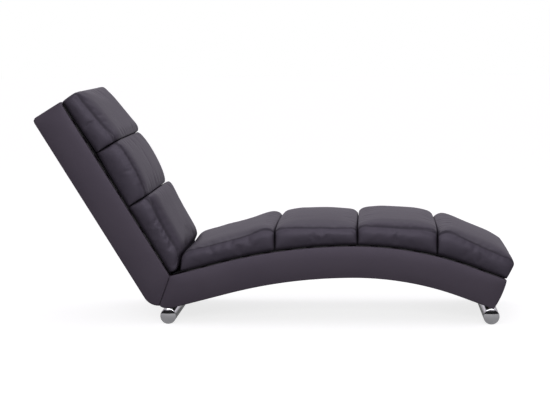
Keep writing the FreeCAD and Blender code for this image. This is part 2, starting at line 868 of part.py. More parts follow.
for foot, tube_x in (("rear", cell("rear_tube_x")), ("front", cell("front_tube_x"))):
    sub_parts.append(foot_tube(f"{foot}_foot_tube", tube_x))
    sub_parts.append(tube_cap(f"{foot}_tube_cap_left", tube_x, 1))
    sub_parts.append(tube_cap(f"{foot}_tube_cap_right", tube_x, -1))


# Bolts, washers, nuts and inserts
def washer_at(x, y, z, turn=0):
    inner = cell("bolt_hole") / 2
    outer = cell("washer_diameter") / 2
    thickness = cell("washer")
    profile = [(inner, 0), (outer, 0), (outer, thickness), (inner, thickness)]
    return turned("washer", profile, x, y, z, turn)


def bolt_at(length, x, y, z, turn=0):
    """A bolt whose head ends at its place and whose shank points along its own axis."""
    shank = cell("bolt_diameter") / 2
    head = cell("bolt_head") / 2
    head_height = cell("bolt_head_height")
    profile = [(0, -head_height), (head, -head_height), (head, 0), (shank, 0), (shank, length)]
    return turned("bolt", profile + [(0, length)], x, y, z, turn)


rail_pair = 2 * cell("rail")
joint_down = cell("joint_rail_drop") + joint_rail_height / 2
front_face = joint_point(joint_down, cell("rail"))
head_seat = joint_point(joint_down, cell("rail") + cell("washer"))
rear_face = joint_point(joint_down, -cell("rail") - cell("washer"))
nut_face = joint_point(joint_down, -cell("rail") - cell("washer") - cell("nut_height"))
joint_turn = -seam_lean
joint_bolt_length = rail_pair + 2 * cell("washer") + cell("nut_height") + cell("bolt_end")
nut_radius = cell("bolt_head") / 2
shank_radius = cell("bolt_diameter") / 2 + cell("thread_gap")
nut_profile = [
    (shank_radius, 0),
    (nut_radius, 0),
    (nut_radius, cell("nut_height")),
    (shank_radius, cell("nut_height")),
]
sub_parts.append(group("joint_bolts", [
    bolt_at(joint_bolt_length, head_seat[0], y, head_seat[1], joint_turn) for y in bolt_places
]))
sub_parts.append(group("joint_washers", [
    washer_at(face[0], y, face[1], 180 - seam_lean) for face in (front_face, rear_face)
    for y in bolt_places
]))
sub_parts.append(group("joint_nuts", [
    turned("nut", nut_profile, nut_face[0], y, nut_face[1], 180 - seam_lean)
    for y in bolt_places
]))

# A flat washer touches the round wall inside the tube along two lines
inner_radius = tube_bore / 2
washer_reach = cell("washer_diameter") / 2
wall_height = root(inner_radius * inner_radius - washer_reach * washer_reach)
foot_washer_top = tube_radius + wall_height - cell("plug_gap")
foot_washer_low = foot_washer_top - cell("washer")
foot_bolt_length = foot_rail_top - foot_washer_low
insert_radius = cell("insert_hole") / 2 - cell("plug_gap")
insert_profile = [
    (shank_radius, -cell("insert_length")),
    (insert_radius, -cell("insert_length")),
    (insert_radius, 0),
    (cell("insert_flange") / 2, 0),
    (cell("insert_flange") / 2, cell("insert_flange_height")),
    (shank_radius, cell("insert_flange_height")),
]
foot_places = [
    (tube_x, side * cell("foot_bolt_place"))
    for tube_x in (cell("rear_tube_x"), cell("front_tube_x"))
    for side in (-1, 1)
]
sub_parts.append(group("foot_bolts", [
    bolt_at(foot_bolt_length, x, y, foot_washer_low) for x, y in foot_places
]))
sub_parts.append(group("foot_washers", [
    washer_at(x, y, foot_washer_low) for x, y in foot_places
]))
sub_parts.append(group("foot_inserts", [
    turned("insert", insert_profile, x, y, foot_rail_top) for x, y in foot_places
]))

# Cushions: each side view is a bowed face over four corners, lofted across the width.
# The crown grows from the sewn side edge to the middle, and the ends draw in a little there.
cushion_width = width - 2 * cell("cushion_setback")
half_gap = cell("cushion_gap") / 2
# The space that is cut out of a cover reaches this far past its open underside
cut_past = 5


def cushion_section(spec, share, inset, extra_depth):
    """Side view of a cushion where its crown has reached the given share."""
    rear_top = spec["rear_top"]
    front_top = spec["front_top"]
    drawn = cell("draw_in") * share
    rise = cell("crown") * share
    shift_x, shift_z = spec["outward"]
    bottom = spec["bottom"](inset + drawn)
    corner = cell("cushion_corner")
    front = spec["along"]
    lift = rise / 2 - inset
    trim = inset + drawn
    top_front = (
        front_top[0] - front[0] * trim + shift_x * lift,
        front_top[1] - front[1] * trim + shift_z * lift,
    )
    top_rear = (
        rear_top[0] + front[0] * trim + shift_x * lift,
        rear_top[1] + front[1] * trim + shift_z * lift,
    )
    face = span(top_rear, top_front)
    front_edge = span(bottom[-1], top_front)
    rear_edge = span(bottom[0], top_rear)
    if extra_depth:
        bottom = [lengthen(bottom[0], rear_edge, spec["outward"], extra_depth)] + [
            (x - shift_x * extra_depth, z - shift_z * extra_depth, *rest)
            for x, z, *rest in bottom[1:-1]
        ] + [lengthen(bottom[-1], front_edge, spec["outward"], extra_depth)]
    start = step(top_front, front_edge, -corner)
    over_front = step(top_front, face, -corner)
    over_rear = step(top_rear, face, corner)
    end = step(top_rear, rear_edge, -corner)
    return bottom + [
        start,
        over_front + (corner,),
        bowed(over_front, over_rear, spec["bow"] + rise / 2),
        end + (corner,),
    ]


def span(start, end):
    """The unit step from one point towards another."""
    across = end[0] - start[0]
    up = end[1] - start[1]
    length = root(across * across + up * up)
    return across / length, up / length


def lengthen(corner, edge, outward, depth):
    """Moves a low corner along its edge until it lies so much deeper."""
    share = edge[0] * outward[0] + edge[1] * outward[1]
    return step(corner, edge, -as_size(depth) / share) + tuple(corner[2:])


def step(point, direction, distance):
    return point[0] + direction[0] * distance, point[1] + direction[1] * distance


def seat_spec(rear, front, rises, bow, rear_lean=0, nose=0):
    """A seat cushion from one place to another, its face so far above the deck at each end."""
    rear_rise, front_rise = (cell(name) for name in rises)
    rear_top_x = rear + rear_lean
    front_top_x = front + nose
    low = base_depth + cushion_low
    return {
        "front_top": (front_top_x, base_height(front_top_x, base_depth) + front_rise),
        "rear_top": (rear_top_x, base_height(rear_top_x, base_depth) + rear_rise),
        "bottom": lambda inset: base_run(rear + inset, front - inset, low),
        "along": (as_size(1), as_size(0)),
        "outward": (as_size(0), as_size(1)),
        "bow": cell(bow),
    }


def back_spec(top, end, outs, bow, end_cut=0):
    """A back cushion between two places down the shell, its face so far out at each end."""
    top_out, end_out = (cell(name) for name in outs)
    return {
        "front_top": back_point(end - end_cut, end_out),
        "rear_top": back_point(top, top_out),
        "bottom": lambda inset: [
            back_point(top + inset, cushion_low),
            back_point(end - inset, cushion_low),
        ],
        "along": (cosine(back_lean), -sine(back_lean)),
        "outward": (sine(back_lean), cosine(back_lean)),
        "bow": cell(bow),
    }


def loft(body, kind, spec, inset, side_inset, extra_depth=0):
    """Lofts the cushion across the width through five side views."""
    half = cushion_width / 2 - side_inset
    shoulder = half - cell("cushion_shoulder")
    stations = [
        (-half, as_size(0)),
        (-shoulder, cell("shoulder_share")),
        (as_size(0), as_size(1)),
        (shoulder, cell("shoulder_share")),
        (half, as_size(0)),
    ]
    sketches = []
    for place_across, share in stations:
        sketch = new_sketch(body, "XZ_Plane", "Section", place_across)
        draw_outline(sketch, cushion_section(spec, share, as_size(inset), extra_depth))
        sketches.append(sketch)
    feature = body.newObject(kind, "Loft")
    feature.Profile = sketches[0]
    feature.Sections = sketches[1:]
    return feature


def cushion(label, spec):
    """A sewn leather cover, open below, and the foam block inside it."""
    cover = new_body(f"{label}_cover")
    loft(cover, "PartDesign::AdditiveLoft", spec, 0, 0)
    loft(cover, "PartDesign::SubtractiveLoft", spec, leather, leather, cut_past)
    foam = new_body(f"{label}_foam")
    inside = leather + soft_gap
    loft(foam, "PartDesign::AdditiveLoft", spec, inside, inside)
    return [place(cover), place(foam)]


seat_front = end_top(base_depth, 0)[0]
seams = [cell("seat_seam_one"), cell("seat_seam_two"), cell("seat_seam_three")]
sub_parts += cushion("seat_cushion_1", seat_spec(
    seat_rear, seams[0] - half_gap, ("rise_one_rear", "rise_one_front"), "seat_bow",
    rear_lean=cell("seat_rear_lean")))
sub_parts += cushion("seat_cushion_2", seat_spec(
    seams[0] + half_gap, seams[1] - half_gap, ("rise_two_rear", "rise_two_front"), "seat_bow"))
sub_parts += cushion("seat_cushion_3", seat_spec(
    seams[1] + half_gap, seams[2] - half_gap, ("rise_three_rear", "rise_three_front"),
    "seat_bow"))
sub_parts += cushion("seat_cushion_4", seat_spec(
    seams[2] + half_gap, seat_front, ("rise_four_rear", "rise_four_front"), "last_seat_bow",
    nose=cell("seat_nose")))
back_seams = [cell("back_seam_one"), cell("back_seam_two")]
sub_parts += cushion("back_cushion_upper", back_spec(
    -cell("back_overhang"), back_seams[0] - half_gap, ("out_upper_top", "out_upper_end"),
    "upper_back_bow"))
sub_parts += cushion("back_cushion_middle", back_spec(
    back_seams[0] + half_gap, back_seams[1] - half_gap, ("out_middle_top", "out_middle_end"),
    "middle_back_bow"))
sub_parts += cushion("back_cushion_lower", back_spec(
    back_seams[1] + half_gap, back_length - cell("back_end_gap"),
    ("out_lower_top", "out_lower_end"), "lower_back_bow", end_cut=cell("back_end_cut")))

doc.recompute()

failed = [
    f"{item.Label}: {item.State}"
    for item in doc.Objects
    if "Invalid" in item.State or "Error" in item.State
]
for item in sub_parts:
    if item.Shape.isNull() or not item.Shape.isValid():
        failed.append(f"{item.Label}: shape is null or not valid")
if failed:
    raise RuntimeError("\n".join(failed))

for item in sub_parts:
    item.Shape.exportStep(f"parts/{item.Label}.step")
print(len(sub_parts), "sub-parts written")
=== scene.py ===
import math

import bmesh
import bpy
from mathutils import Matrix, Vector, noise


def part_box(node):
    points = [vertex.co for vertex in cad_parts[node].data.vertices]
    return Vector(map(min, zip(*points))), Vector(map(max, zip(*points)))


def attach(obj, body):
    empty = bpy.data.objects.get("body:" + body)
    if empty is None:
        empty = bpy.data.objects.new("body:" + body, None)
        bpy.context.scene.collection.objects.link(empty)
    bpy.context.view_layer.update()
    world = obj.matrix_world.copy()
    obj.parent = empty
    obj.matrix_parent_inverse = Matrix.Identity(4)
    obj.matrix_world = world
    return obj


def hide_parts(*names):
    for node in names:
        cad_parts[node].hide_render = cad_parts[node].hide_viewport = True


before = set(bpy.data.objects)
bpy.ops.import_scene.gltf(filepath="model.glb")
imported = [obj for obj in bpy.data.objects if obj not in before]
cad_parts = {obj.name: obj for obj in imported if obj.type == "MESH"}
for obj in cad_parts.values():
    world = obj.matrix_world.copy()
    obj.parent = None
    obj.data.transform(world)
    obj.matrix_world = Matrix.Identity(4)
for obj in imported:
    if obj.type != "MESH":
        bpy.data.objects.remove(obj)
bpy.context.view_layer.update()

scene = bpy.context.scene
scene.view_settings.view_transform = "Standard"


# Camera: a long lens about 5.6 m in front of the near side, a little above the seat
# and turned slightly towards the foot end.
camera_azimuth = math.radians(3.7)
camera_elevation = math.radians(6.5)
camera_roll = math.radians(-0.58)
camera_back = Vector((
    math.sin(camera_azimuth) * math.cos(camera_elevation),
    -math.cos(camera_azimuth) * math.cos(camera_elevation),
    math.sin(camera_elevation),
))
level_right = Vector((math.cos(camera_azimuth), math.sin(camera_azimuth), 0))
level_up = camera_back.cross(level_right)
camera_right = level_right * math.cos(camera_roll) + level_up * math.sin(camera_roll)
camera_up = level_up * math.cos(camera_roll) - level_right * math.sin(camera_roll)
lens = bpy.data.cameras.new("long_lens")
lens.lens = 100
lens.sensor_width = 36
camera = bpy.data.objects.new("camera", lens)
scene.collection.objects.link(camera)
placed = Matrix((camera_right, camera_up, camera_back)).transposed().to_4x4()
placed.translation = Vector((0.351, -5.642, 1.040))
camera.matrix_world = placed
scene.camera = camera


# Frame wood: birch plywood side boards, beech rails screwed between them, and a
# hardboard panel at the rear of the back. Leather and foam hide all of it.
class Finish:
    """A value or colour in a finish. Arithmetic on a value adds the Math nodes for it."""

    def __init__(self, tree, socket=None):
        self.tree = tree
        self.socket = socket

    def node(self, kind, inputs=None, output=0, **settings):
        """Adds a node, its settings first, then the values or links of its inputs."""
        made = self.tree.nodes.new(f"ShaderNode{kind}")
        for name, value in settings.items():
            setattr(made, name, value)
        for name, value in (inputs or {}).items():
            if isinstance(value, Finish):
                self.tree.links.new(value.socket, made.inputs[name])
            elif made.inputs[name].type == "RGBA" and len(value) == 3:
                made.inputs[name].default_value = (*value, 1)
            else:
                made.inputs[name].default_value = value
        return Finish(self.tree, made.outputs[output])

    def sum(self, operation, first, second):
        return self.node("Math", {0: first, 1: second}, operation=operation)

    def __add__(self, other):
        return self.sum("ADD", self, other)

    def __sub__(self, other):
        return self.sum("SUBTRACT", self, other)

    def __rsub__(self, other):
        return self.sum("SUBTRACT", other, self)

    def __mul__(self, other):
        return self.sum("MULTIPLY", self, other)

    __radd__ = __add__
    __rmul__ = __mul__

    def limits(self, low, high):
        """Spreads the values from low to high over 0 to 1, softly at both ends."""
        inputs = {"Value": self, "From Min": low, "From Max": high}
        return self.node("MapRange", inputs, interpolation_type="SMOOTHSTEP")

    def noise(self, scale, detail=3, stretch=None):
        """Soft noise with so many blotches per metre, stretched along the axes."""
        place = self.node("TexCoord", output=3)
        if stretch:
            place = self.node("Mapping", {"Vector": place, "Scale": stretch})
        inputs = {"Vector": place, "Scale": scale, "Detail": detail}
        return self.node("TexNoise", inputs)

    def mix(self, share, first, second):
        inputs = {0: share, 6: first, 7: second}
        return self.node("Mix", inputs, output=2, data_type="RGBA")

    def relief(self, height, distance, below=None):
        inputs = {"Height": height, "Distance": distance}
        if below:
            inputs["Normal"] = below
        return self.node("Bump", inputs)


def finish(name, surface, **fixed):
    """A material whose surface function gives the sockets that vary; the rest are fixed."""
    material = bpy.data.materials.new(name)
    material.use_nodes = True
    tree = material.node_tree
    shader = tree.nodes["Principled BSDF"]
    for socket, value in fixed.items():
        shader.inputs[socket.replace("_", " ")].default_value = value
    for socket, value in surface(Finish(tree)).items():
        tree.links.new(value.socket, shader.inputs[socket.replace("_", " ")])
    return material


def plywood_surface(tone):
    plies = tone.noise(420, 2, (1, 0.03, 1))
    grain = tone.noise(30, 4, (0.3, 1, 4))
    colour = tone.mix(grain.limits(0.3, 0.7), (0.52, 0.36, 0.20), (0.64, 0.47, 0.29))
    return {
        "Base_Color": tone.mix(plies.limits(0.55, 0.7) * 0.4, colour, (0.33, 0.2, 0.1)),
        "Roughness": grain * 0.3 + 0.5,
        "Normal": tone.relief(grain, 0.0004),
    }


def beech_surface(tone):
    grain = tone.noise(60, 5, (4, 0.12, 4))
    flecks = tone.noise(900, 1, (1, 0.15, 1))
    colour = tone.mix(grain.limits(0.35, 0.65), (0.50, 0.31, 0.17), (0.62, 0.42, 0.25))
    return {
        "Base_Color": tone.mix(flecks.limits(0.62, 0.7) * 0.5, colour, (0.28, 0.15, 0.07)),
        "Roughness": grain * 0.25 + 0.45,
        "Normal": tone.relief(grain, 0.0003),
    }


def hardboard_surface(tone):
    fibres = tone.noise(500, 6)
    screen = tone.node("TexBrick", {
        "Vector": tone.node("TexCoord", output=3), "Scale": 500.0,
        "Color1": (1, 1, 1), "Color2": (0.8, 0.8, 0.8), "Mortar": (0, 0, 0)})
    return {
        "Base_Color": tone.mix(fibres.limits(0.3, 0.7), (0.17, 0.09, 0.045), (0.26, 0.15, 0.08)),
        "Roughness": fibres * 0.3 + 0.5,
        "Normal": tone.relief(screen, 0.0001),
    }


def clothe(material, *nodes):
    """Gives CAD solids that stay as they are their material."""
    for name in nodes:
        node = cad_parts[name]
        node.data.materials.clear()
        node.data.materials.append(material)


clothe(finish("birch_plywood", plywood_surface), "base_side_board_left",
       "base_side_board_right", "back_side_board_left", "back_side_board_right")
clothe(finish("beech", beech_surface), "base_rear_rail", "base_end_rail", "base_cross_rails",
       "rear_foot_rail", "front_foot_rail", "back_joint_rail", "back_cross_rails",
       "back_top_rail")
clothe(finish("hardboard", hardboard_surface), "back_panel")


# Webbing: elastic straps woven from rubber and polyester thread, with ribs across. They are
# stapled from board to board, on the seat and on the back, and carry the cushions.
def webbing_surface(tone):
    place = tone.node("TexCoord", output=3)
    ribs = tone.node("TexWave", {"Vector": place, "Scale": 160.0, "Distortion": 0.3},
                     bands_direction="Y", output=1)
    threads = tone.noise(1500, 2)
    return {
        "Base_Color": tone.mix(ribs, (0.02, 0.02, 0.022), (0.075, 0.072, 0.07)),
        "Roughness": threads * 0.2 + 0.7,
        "Normal": tone.relief(ribs + threads * 0.4, 0.0005),
    }


clothe(finish("elastic_webbing", webbing_surface), "seat_straps", "back_straps")


# Fasteners: zinc-plated steel bolts, washers, nuts and threaded inserts. They hold the back to
# the base along the joint, and the two foot tubes to the rails above them.
def zinc_surface(tone):
    spangle = tone.noise(260, 3)
    return {
        "Base_Color": tone.mix(spangle, (0.52, 0.53, 0.55), (0.7, 0.7, 0.7)),
        "Roughness": spangle * 0.25 + 0.25,
        "Normal": tone.relief(spangle, 0.00008),
    }


clothe(finish("zinc_plate", zinc_surface, Metallic=1.0), "foot_bolts", "foot_washers",
       "foot_inserts", "joint_bolts", "joint_washers", "joint_nuts")


# Base cover: smooth faux leather over thin foam on the side boards and the foot end,
# sewn along the edges. Each side panel rolls over its edge and ends in a seam.
arch_peak_x = 0.281
arch_peak_height = 0.1675
rear_arch = (1.810, math.radians(14.6))
front_arch = (1.090, math.radians(20.6))
base_depth = 0.1124
side_y = 0.265
joint_x = -0.378
joint_lean = math.radians(69.5)
heel_height = 0.067
tube_top = 0.0572
rear_tube_x = -0.386
front_tube_x = 0.769
tube_flat = 0.008
tube_ramp = 0.005
toe_x = 0.778
toe_lean = math.radians(66)


def base_height(x, lift):
    """Height of the line that runs so far above the underside of the base."""
    along = x - arch_peak_x
    radius, slope = rear_arch if along < 0 else front_arch
    curved = min(abs(along), (radius + lift) * math.sin(slope))
    straight = abs(along) - curved
    arc = math.sqrt((radius + lift) ** 2 - curved ** 2)
    return arch_peak_height - radius + arc - straight * math.tan(slope)


joint_height = base_height(joint_x, base_depth)


def joint_at(height):
    """A point of the joint face between back and base."""
    return Vector((joint_x - (joint_height - height) / math.tan(joint_lean), height))


def arc_to(start, end, rise, count):
    """Points after start up to end on a shallow arc that rises to the left of the way."""
    chord = end - start
    left = Vector((-chord.y, chord.x)).normalized()
    return [
        start + chord * (k / count) + left * rise * 4 * (k / count) * (1 - k / count)
        for k in range(1, count + 1)
    ]


def rounded(points, corner, radius, count=6):
    """The points with one corner replaced by a round one."""
    before = (points[corner - 1] - points[corner]).normalized()
    after = (points[corner + 1] - points[corner]).normalized()
    start = points[corner] + before * radius
    end = points[corner] + after * radius
    bend = [
        start.lerp(points[corner], t).lerp(points[corner].lerp(end, t), t)
        for t in (k / count for k in range(count + 1))
    ]
    return points[:corner] + bend + points[corner + 1:]


def evenly(points, count):
    """The same line in so many equal steps."""
    lengths = [0]
    for start, end in zip(points, points[1:]):
        lengths.append(lengths[-1] + (end - start).length)
    line = []
    piece = 0
    for step in range(count + 1):
        goal = lengths[-1] * step / count
        while piece < len(points) - 2 and lengths[piece + 1] < goal:
            piece += 1
        share = (goal - lengths[piece]) / (lengths[piece + 1] - lengths[piece])
        line.append(points[piece].lerp(points[piece + 1], min(1, share)))
    return line


def patch(bottom, end, top, start, across_counts):
    """A grid over four border lines. bottom and top run forward, start and end upward."""
    grid = []
    for row in range(across_counts + 1):
        v = row / across_counts
        line = []
        for column in range(len(bottom)):
            u = column / (len(bottom) - 1)
            between = bottom[column].lerp(top[column], v) + start[row].lerp(end[row], u)
            low = bottom[0].lerp(bottom[-1], u)
            high = top[0].lerp(top[-1], u)
            line.append(between - low.lerp(high, v))
        grid.append(line)
    return grid


def inward(loop, distance):
    """The closed line drawn in by a distance, square to its edges, corners mitred."""
    drawn = []
    for index, point in enumerate(loop):
        before = (point - loop[index - 1]).normalized()
        after = (loop[(index + 1) % len(loop)] - point).normalized()
        middle = (before + after).normalized()
        normal = Vector((-middle.y, middle.x))
        spread = max(0.5, normal.dot(Vector((-after.y, after.x))))
        drawn.append(point + normal * (distance / spread))
    return drawn


def new_piece(name, points, faces, material, smooth=True):
    """Makes the object of a piece from its points and faces and lets it ride."""
    mesh = bpy.data.meshes.new(name)
    mesh.from_pydata([tuple(point) for point in points], [], faces)
    shell = bmesh.new()
    shell.from_mesh(mesh)
    bmesh.ops.recalc_face_normals(shell, faces=shell.faces)
    shell.to_mesh(mesh)
    shell.free()
    mesh.polygons.foreach_set("use_smooth", [smooth] * len(mesh.polygons))
    mesh.materials.append(material)
    piece = bpy.data.objects.new(name, mesh)
    scene.collection.objects.link(piece)
    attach(piece, "root")
    return piece


def thicken(piece, thickness):
    """Gives a cover its thickness, on the inner side."""
    layer = piece.modifiers.new("thickness", "SOLIDIFY")
    layer.thickness = thickness
    layer.offset = -1


edge_roll = 0.004
tuck = 0.0015
wrap_y = 0.2402
wrap_lift = 0.0009
bulge = 0.0036
panel_wave = 0.0012
leather_thickness = 0.0014
roll_rings = [(tuck * 1.4, -edge_roll - tuck), (0.0004, -edge_roll - 0.0006)] + [
    (edge_roll * (1 - math.cos(turn)), edge_roll * (math.sin(turn) - 1))
    for turn in (math.radians(part * 18) for part in range(6))
]


def side_panel(name, borders, across_count, side):
    """A sewn side panel: a soft face whose edges roll over all round and tuck in.
    Its upper border is wrapped over the edge of the board under the cushions, and the
    padding makes it a few millimetres thicker along its middle."""
    bottom, end, top, start = borders
    loop = bottom[:-1] + end[:-1] + top[:0:-1] + start[:0:-1]
    wrapped = range(len(bottom) + len(end) - 2, len(bottom) + len(end) + len(top) - 2)
    points = []
    for ring, (inset, back) in enumerate(roll_rings):
        outer = inward(loop, -wrap_lift)
        for index, flat in enumerate(inward(loop, inset)):
            y = side_y + back
            if index in wrapped and ring < 2:
                flat = outer[index]
                y = wrap_y if ring == 0 else side_y - edge_roll - 0.001
            elif index in wrapped and ring < 6:
                flat = flat.lerp(outer[index], (6 - ring) / 4)
            points.append(Vector((flat.x, side * y, flat.y)))
    ring = inward(loop, edge_roll)
    along = len(bottom) - 1
    up = across_count
    faces = []
    size = len(loop)
    for layer in range(len(roll_rings) - 1):
        for index in range(size):
            following = (index + 1) % size
            low = layer * size
            faces.append((low + index, low + following, low + size + following,
                          low + size + index))
    inner_bottom = ring[:along + 1]
    inner_end = ring[along:along + up + 1]
    inner_top = ring[along + up:2 * along + up + 1][::-1]
    inner_start = (ring[2 * along + up:] + ring[:1])[::-1]
    grid = patch(inner_bottom, inner_end, inner_top, inner_start, up)
    last = (len(roll_rings) - 1) * size
    number = {}
    for row in range(up + 1):
        for column in range(along + 1):
            if row == 0:
                number[row, column] = last + column
            elif row == up:
                number[row, column] = last + along + up + (along - column)
            elif column == along:
                number[row, column] = last + along + row
            elif column == 0:
                number[row, column] = last + size - row
            else:
                flat = grid[row][column]
                edge = min(1, min(row, up - row) / 3, min(column, along - column) / 3)
                uneven = noise.noise(Vector((flat.x * 7, side * 5, flat.y * 7)))
                rise = panel_wave * edge * (0.6 + uneven)
                to_end = min(1, min(column, along - column) / 5)
                rise += bulge * 4 * row / up * (1 - row / up) * to_end * (2 - to_end)
                number[row, column] = len(points)
                points.append(Vector((flat.x, side * (side_y + rise), flat.y)))
    for row in range(up):
        for column in range(along):
            faces.append((number[row, column], number[row, column + 1],
                          number[row + 1, column + 1], number[row + 1, column]))
    piece = new_piece(name, points, faces, cover_leather)
    thicken(piece, leather_thickness)
    return piece


def strip(name, profile, half_width, wave, material, thickness=leather_thickness):
    """A cover strip from side to side along a profile, its long edges tucked into the seams."""
    count = 40
    places = [-half_width, -half_width + 0.0008, -half_width + 0.003]
    places += [(-1 + 2 * k / count) * (half_width - 0.010) for k in range(count + 1)]
    places += [half_width - 0.003, half_width - 0.0008, half_width]
    sunk = [tuck, tuck * 0.4] + [0] * (len(places) - 4) + [tuck * 0.4, tuck]
    points = []
    for index, flat in enumerate(profile):
        before = profile[max(0, index - 1)]
        after = profile[min(len(profile) - 1, index + 1)]
        way = (after - before).normalized()
        outward = Vector((way.y, -way.x))
        ends = min(1, index / 3, (len(profile) - 1 - index) / 3)
        for y, drop in zip(places, sunk):
            middle = max(0, 1 - (y / half_width) ** 2)
            rise = wave * ends * middle ** 0.5 * (
                0.7 + noise.noise(Vector((flat.x * 6, y * 6, flat.y * 6))))
            spot = flat + outward * (rise - drop)
            points.append(Vector((spot.x, y, spot.y)))
    wide = len(places)
    faces = [
        (row * wide + column, row * wide + column + 1, (row + 1) * wide + column + 1,
         (row + 1) * wide + column)
        for row in range(len(profile) - 1) for column in range(wide - 1)
    ]
    piece = new_piece(name, points, faces, material)
    thicken(piece, thickness)
    return piece


def cover_surface(tone):
    place = tone.node("TexCoord", output=3)
    pebbles = tone.node("TexVoronoi", {"Vector": place, "Scale": 700.0}, feature="SMOOTH_F1")
    fine = tone.noise(1600, 2)
    broad = tone.noise(9, 2)
    cloud = tone.noise(3.5, 3)
    colour = tone.mix(cloud.limits(0.3, 0.7), (0.0325, 0.0262, 0.0335), (0.0385, 0.0315, 0.0392))
    soft = tone.relief(broad, 0.0012)
    return {
        "Base_Color": colour,
        "Roughness": cloud * 0.12 + fine * 0.08 + 0.43,
        "Normal": tone.relief(pebbles * 0.7 + fine * 0.3, 0.00012, soft),
    }


cover_leather = finish("cover_leather", cover_surface, Specular_IOR_Level=0.62,
                       Specular_Tint=(0.86, 0.76, 1.0, 1.0))

rear_flat = rear_tube_x - tube_flat
front_flat = front_tube_x - tube_flat
heel_start = joint_at(heel_height)
heel_end = Vector((rear_flat, tube_top))
heel_line = [heel_start] + arc_to(heel_start, heel_end, -0.003, 4)
flat_end = Vector((rear_flat + 2 * tube_flat, tube_top))
run_start = flat_end.x + tube_ramp
run_end = front_flat - tube_ramp
run_count = 76
run_line = [
    Vector((x, base_height(x, 0)))
    for x in (run_start + (run_end - run_start) * k / run_count for k in range(run_count + 1))
]
toe = Vector((toe_x, tube_top))
base_bottom = heel_line + [flat_end] + run_line + [Vector((front_flat, tube_top)), toe]
top_lean = 1 / math.tan(toe_lean)
end_rise = (base_height(toe_x, base_depth) - tube_top) / (1 + math.tan(front_arch[1]) * top_lean)
base_end_top = Vector((toe_x + end_rise * top_lean, tube_top + end_rise))
deck_line = [
    Vector((x, base_height(x, base_depth)))
    for x in (joint_x + (base_end_top.x - joint_x) * k / 200 for k in range(201))
]
foot_line = [toe] + arc_to(toe, base_end_top, -0.005, 10)
foot_corner = 0.0065
turning = rounded(foot_line + deck_line[::-1][4:], len(foot_line) - 1, foot_corner)
corner_middle = len(foot_line) + 2
foot_count = 12
foot_line = evenly(turning[:corner_middle + 1], foot_count)
deck_line = evenly(turning[corner_middle - 1:][::-1], len(base_bottom) - 1)
deck_line[-1] = foot_line[-1]
joint_line = evenly([heel_start, Vector((joint_x, joint_height))], foot_count)
deck_line[0] = joint_line[-1]
for side, word in ((1, "left"), (-1, "right")):
    panel = side_panel(f"base_side_leather_{word}", (base_bottom, foot_line, deck_line, joint_line),
                       foot_count, side)
    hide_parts(f"base_side_cover_{word}", f"base_side_padding_{word}")
seam_gap = 0.0008
strip_half = side_y - edge_roll - seam_gap
over_boards = Vector((0, 0.0015))
over_deck = [point + over_boards for point in deck_line[::-1][1:5]]
end_strip = strip("base_end_leather", evenly(foot_line + over_deck, 30), strip_half, 0.0015,
                  cover_leather)
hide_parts("base_end_cover", "base_end_padding")
heel_strip = strip("base_heel_leather", evenly(heel_line[::-1], 8)[::-1], strip_half, 0,
                   cover_leather)
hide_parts("base_heel_cover")


# Back cover: two side panels of the same leather, and one strip that wraps the top, the
# rear and the heel of the back. The strip's long edges are tucked into the side seams.
back_lean = math.radians(58.7)
back_length = 0.733
back_depth = 0.1185
back_corner = 0.014
heel_flat = 0.003


def back_at(down, out):
    """A point so far down from the top of the back, and so far out of its front."""
    up = back_length - down
    return Vector((
        joint_x - up * math.cos(back_lean) + out * math.sin(back_lean),
        joint_height + up * math.sin(back_lean) + out * math.cos(back_lean),
    ))


low_rear = back_at(back_length, -back_depth)
heel_corner = Vector((low_rear.x + (low_rear.y - heel_height) / math.tan(back_lean), heel_height))
heel_reach = heel_start.x - heel_flat - heel_corner.x
heel_radius = heel_reach / math.tan(back_lean / 2)
heel_centre = Vector((heel_corner.x + heel_reach, heel_height + heel_radius))
heel_arc = [
    heel_centre + heel_radius * Vector((-math.sin(turn), -math.cos(turn)))
    for turn in (back_lean * k / 10 for k in range(11))
]
rear_line = [heel_start] + heel_arc + [back_at(0, -back_depth)]
outer = rounded(rear_line + [back_at(0, 0)], len(rear_line) - 1, back_corner)
back_count = 60
half_turn = len(rear_line) - 1 + 3
rear_side = evenly(outer[:half_turn + 1], back_count)[::-1]
top_side = evenly(outer[half_turn:], foot_count)
front_side = evenly([back_at(0, 0), back_at(back_length, 0)], back_count)
seam_side = evenly([heel_start, back_at(back_length, 0)], foot_count)
for side, word in ((1, "left"), (-1, "right")):
    panel = side_panel(f"back_side_leather_{word}", (rear_side, seam_side, front_side, top_side),
                       foot_count, side)
    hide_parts(f"back_side_cover_{word}", f"back_side_padding_{word}")
rear_way = evenly(outer + [back_at(0.018, 0.0004)], 104)
rear_strip = strip("back_rear_leather", rear_way, strip_half, 0.002,
                   cover_leather)
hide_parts("back_rear_cover", "back_rear_padding")


# Lining felt: a black needle felt, 4 mm thick, laid between the straps and the cushions on
# the seat and on the back. It shows only as the dark crease below the cushions.
def felt_surface(tone):
    fuzz = tone.noise(900, 6)
    return {
        "Base_Color": tone.mix(fuzz, (0.006, 0.006, 0.007), (0.018, 0.017, 0.018)),
        "Roughness": fuzz * 0.1 + 0.85,
        "Normal": tone.relief(fuzz, 0.0006),
    }


